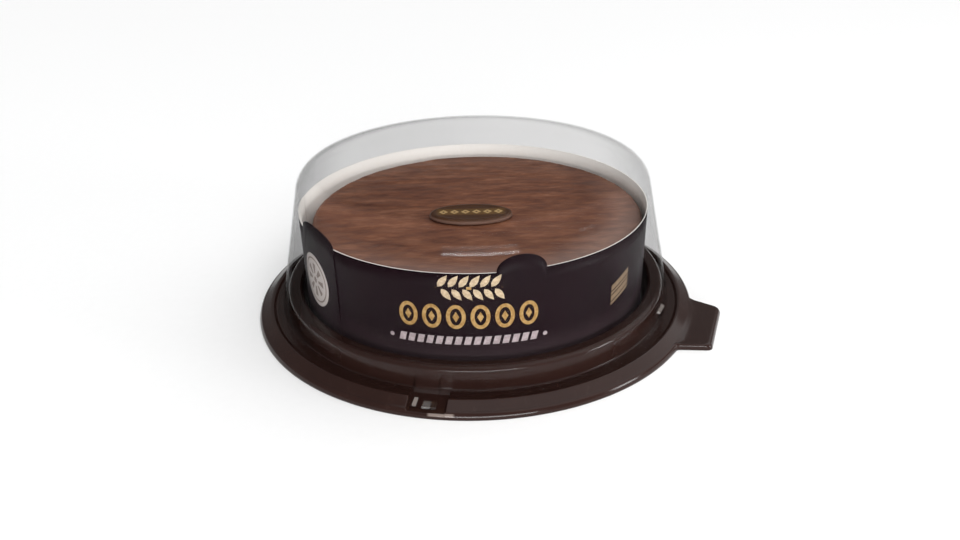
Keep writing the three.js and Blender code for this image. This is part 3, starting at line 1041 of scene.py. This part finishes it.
def cake_glaze():
    """Streaks of set glaze; painted shade darkens it away from a place behind the middle, and a
    painted pale sheen lies on the rim towards the front right."""
    finish = Finish("cake_streaked_glaze")
    drift = finish.noise(finish.stretched((22, 22, 22)), detail=2)
    strokes = finish.noise(finish.stretched((46, 150, 60), turn=5), detail=3, rough=0.6, warp=0.35)
    fine = finish.noise(finish.stretched((150, 460, 200), turn=-4), detail=4, rough=0.7, warp=0.2)
    grain = finish.noise(finish.stretched((1500, 1500, 1500)), detail=2)
    tone = 0.42 * strokes + 0.38 * fine + 0.2 * drift
    colour = finish.node(
        "ShaderNodeValToRGB",
        {"stops": [
            (0.37, linear(85, 49, 35)[:3]),
            (0.46, linear(108, 66, 48)[:3]),
            (0.53, linear(123, 78, 56)[:3]),
            (0.62, linear(145, 98, 75)[:3]),
        ]},
        {"Fac": tone},
    )
    # Painted shade: the glaze darkens away from a place 22 mm behind the middle.
    deeper, aside, _ = finish.seen_from(90)
    lightest = 22
    off_lightest = (deeper - lightest) * (deeper - lightest) + 0.4 * aside * aside
    painted_shade = finish.slope(finish.math("SQRT", off_lightest), 10, 84, 0, 0.26)
    colour = finish.mixed(painted_shade, colour, (0, 0, 0, 1))
    # Painted sheen: a pale reflection on the rim towards the front right.
    ahead, aside, _ = finish.seen_from(-60)
    rim = finish.slope(finish.distance(ahead, aside), 62, 84)
    pale_share = rim * finish.slope(ahead, -20, 80, 0, 0.13)
    colour = finish.mixed(pale_share, colour, linear(215, 208, 204))
    relief = 0.7 * fine + 0.2 * grain + 0.5 * strokes
    surface = finish.body(
        Base_Color=colour,
        Roughness=0.42 + 0.2 * fine,
        IOR=1.3,
        Normal=finish.bump(relief, distance=0.0004, strength=0.45),
    )
    return finish.done(surface)


def plaque_chocolate():
    """Dark chocolate with a row of gold diamond outlines, gold dust round them, and a painted
    highlight round its bevelled edge.
    """
    finish = Finish("plaque_dark_chocolate")
    x, y, high = finish.seen_from(0)
    along, across = x - PLAQUE_CENTRE[0], y - (PLAQUE_CENTRE[1] + 0.6)
    pitch = 5.8
    local = finish.math("WRAP", along + pitch / 2, pitch / 2, -pitch / 2)
    diamond = abs(local) / 2.6 + abs(across) / 2.9
    row = finish.slope(abs(along), 3 * pitch - 0.2, 3 * pitch, 1, 0)
    marks = finish.band(diamond, (0.28, 0.4), (0.86, 1.0)) * row
    marks = marks * finish.math("GREATER_THAN", high, PLAQUE_TOP - 0.5)
    pale_share = finish.noise(finish.stretched((120, 120, 120)), detail=3)
    colour = finish.mixed(pale_share, linear(54, 28, 8), linear(78, 45, 17))
    # Painted highlight on the bevelled edge below the top.
    painted_edge_highlight = finish.slope(high, PLAQUE_TOP - 0.15, PLAQUE_TOP - 1.3)
    colour = finish.mixed(0.7 * painted_edge_highlight, colour, linear(132, 104, 92))
    dusted = finish.slope(abs(across), 3.0, 5.0, 0.45, 0) * finish.slope(abs(along), 16.5, 19, 1, 0)
    colour = finish.mixed(dusted, colour, linear(124, 92, 44))
    colour = finish.mixed(marks, colour, linear(212, 178, 122))
    surface = finish.body(
        Base_Color=colour,
        Metallic=0.4 * marks,
        Roughness=0.3 + 0.12 * pale_share,
        IOR=1.36,
        Normal=finish.bump(pale_share + 0.4 * marks, distance=0.00025, strength=0.3),
    )
    return finish.done(surface)


def floor_paper():
    finish = Finish("floor_pale_paper")
    grain = finish.noise(finish.stretched((200, 200, 200)), detail=2)
    surface = finish.body(
        Base_Color=finish.mixed(grain, (0.92, 0.92, 0.92, 1), (0.94, 0.94, 0.94, 1)),
        Roughness=0.85,
    )
    return finish.done(surface)


# ---------------------------------------------------------------- studio

def make_floor():
    span = 4000.0
    corners = [(-span, -span, 0), (span, -span, 0), (span, span, 0), (-span, span, 0)]
    floor = plain_mesh("floor", corners, [(0, 1, 2, 3)])
    floor.data.materials.append(floor_paper())


def far_soft_light(name, comes_from, width, strength, mirrored=True):
    """A large round softbox far away, as wide as the given angle, that lights the floor evenly."""
    light = bpy.data.lights.new(name, "SUN")
    light.energy = strength
    light.angle = math.radians(width)
    lamp = bpy.data.objects.new(name, light)
    lamp.visible_glossy = mirrored
    bpy.context.scene.collection.objects.link(lamp)
    lamp.matrix_world = (-Vector(comes_from)).to_track_quat("-Z", "Y").to_matrix().to_4x4()


def strip_light(name, at, width, height, radiance):
    """A bright narrow panel that faces the pack and draws fine lines of gloss along its edges."""
    light = bpy.data.lights.new(name, "AREA")
    light.shape = "RECTANGLE"
    light.size, light.size_y = width, height
    light.energy = radiance * math.pi * width * height
    lamp = bpy.data.objects.new(name, light)
    bpy.context.scene.collection.objects.link(lamp)
    turn = (Vector((0, 0, 0.04)) - Vector(at)).to_track_quat("-Z", "Y").to_matrix().to_4x4()
    lamp.matrix_world = Matrix.Translation(at) @ turn


def light_studio():
    world = bpy.data.worlds.new("studio")
    bpy.context.scene.world = world
    world.use_nodes = True
    nodes, links = world.node_tree.nodes, world.node_tree.links
    nodes.clear()
    dim_room, white_backdrop = (nodes.new("ShaderNodeBackground") for _ in range(2))
    dim_room.inputs["Strength"].default_value = 0.27
    dim_room.inputs["Color"].default_value = (1, 1, 1, 1)
    white_backdrop.inputs["Color"].default_value = (1, 1, 1, 1)
    seen = nodes.new("ShaderNodeMixShader")
    links.new(nodes.new("ShaderNodeLightPath").outputs["Is Camera Ray"], seen.inputs[0])
    links.new(dim_room.outputs[0], seen.inputs[1])
    links.new(white_backdrop.outputs[0], seen.inputs[2])
    links.new(seen.outputs[0], nodes.new("ShaderNodeOutputWorld").inputs["Surface"])
    far_soft_light("overhead", (0.55, 0.1, 1.0), width=90, strength=1.64)
    far_soft_light("front", (0.15, -0.8, 0.6), width=50, strength=1.8, mirrored=False)
    strip_light("front_strip", (0.09, -1.4, 0.13), width=1.1, height=0.12, radiance=22)
    strip_light("side_strip", (1.2, -0.45, 0.2), width=0.3, height=0.3, radiance=16)
    view = bpy.context.scene.view_settings
    view.view_transform = "Standard"
    view.look = "None"
    view.exposure = 0
    view.gamma = 1


# ---------------------------------------------------------------- assembly

def finish_piece(piece, material, slot, *nodes):
    """Gives a piece its finish, hides the CAD parts that it stands for, and lets it ride with the
    pack.
    """
    if material is not None:
        piece.data.materials.clear()
        piece.data.materials.append(material)
    if nodes:
        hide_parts(*nodes)
    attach(piece, "root")


finish_piece(make_tray(), tray_plastic(), "tray_plastic", "tray")
finish_piece(make_lid(), lid_plastic(), "lid_clear", "lid")
finish_piece(make_cake(), cake_glaze(), "cake_glaze", "cake")
finish_piece(make_plaque(), plaque_chocolate(), "plaque_chocolate", "plaque")
finish_piece(make_collar(), None, "collar_board", "collar")
inks = [
    print_ink("gold_ink", linear(184, 151, 96), linear(150, 113, 56), metal=0.3, rough=0.34),
    print_ink("pale_ink", linear(196, 176, 146), linear(166, 145, 116), metal=0.0, rough=0.45),
    print_ink("grey_ink", linear(170, 157, 158), linear(144, 131, 133), metal=0.0, rough=0.45),
    print_ink("deep_gold_ink", linear(128, 108, 84), linear(104, 84, 62), metal=0.0, rough=0.45),
]
for print_layer in make_print(*inks):
    finish_piece(print_layer, None, "collar_board")
finish_piece(make_seal(), seal_paper(), "collar_board")
make_floor()
light_studio()
